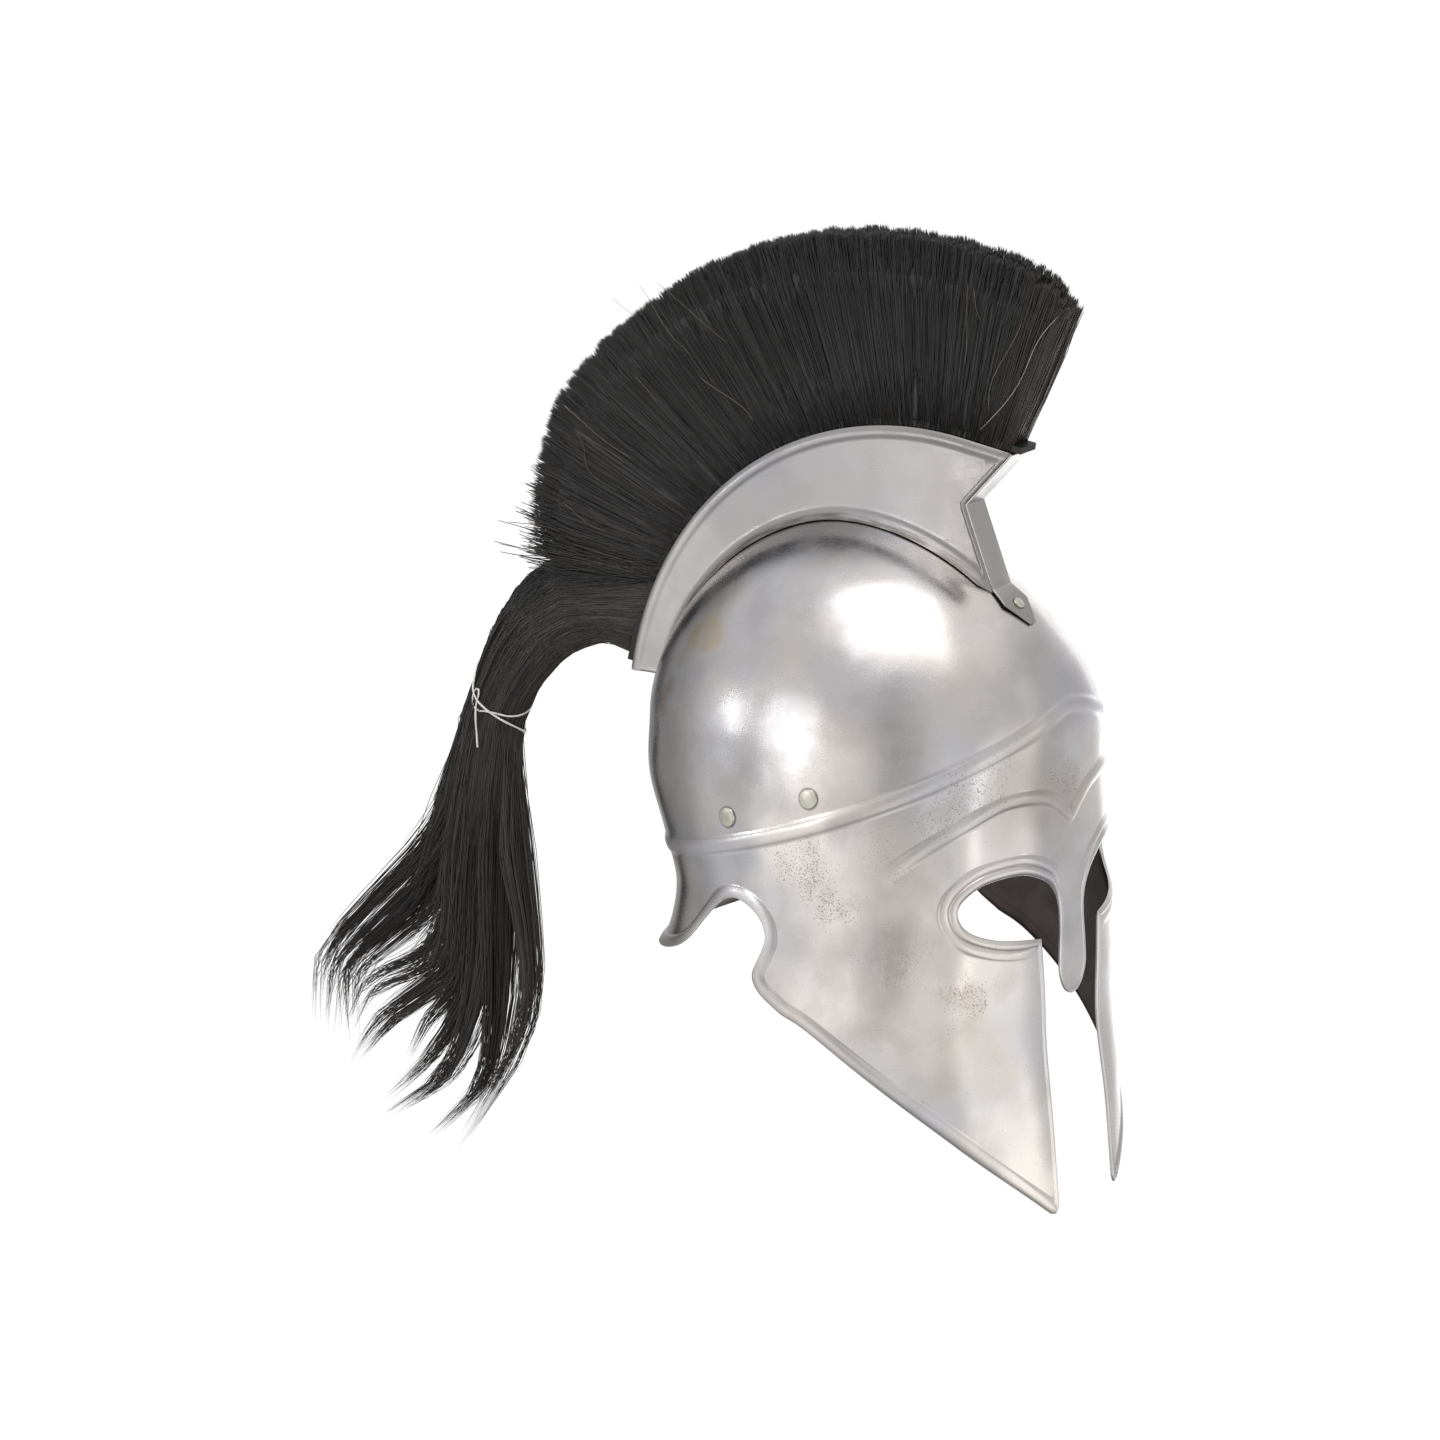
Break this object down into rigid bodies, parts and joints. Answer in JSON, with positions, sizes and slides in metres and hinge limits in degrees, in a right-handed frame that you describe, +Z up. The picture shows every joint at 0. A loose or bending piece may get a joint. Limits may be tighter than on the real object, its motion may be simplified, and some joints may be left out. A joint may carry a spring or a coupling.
{
  "type": "greek helmet",
  "caption": "Polished steel helmet with nasal and cheek plates, a crest box with an upright black horsehair brush and a bound hair tail.",
  "frame": {"origin": "inside of the crown, on the plane of symmetry, where the wearer's head carries the helmet", "axes": "+Z up, the face looks along -Y, the wearer's right is -X; the plane of symmetry is x = 0"},
  "size_m": [0.2136, 0.5034, 0.5255],
  "materials": {
    "steel": "polished mild steel with faint hammer marks, heat tint at the rim and small rust pits, dark grey-brown inside",
    "rivet": "flat pale steel rivet heads",
    "block": "painted black",
    "hair": "black horsehair, brownish at the front",
    "string": "white cotton string"
  },
  "bodies": {
    "root": {"helmet_shell": "steel", "crest_side_right": "steel", "crest_side_left": "steel", "crest_front_strap": "steel", "crest_rear_plate": "steel", "skull_rivet_right_front": "rivet", "skull_rivet_right_rear": "rivet", "skull_rivet_left_front": "rivet", "skull_rivet_left_rear": "rivet", "crest_tab_rivet": "rivet", "plume_base": "block", "plume_brush": "hair", "plume_tail": "hair", "tail_string": "string"}
  },
  "joints": []
}
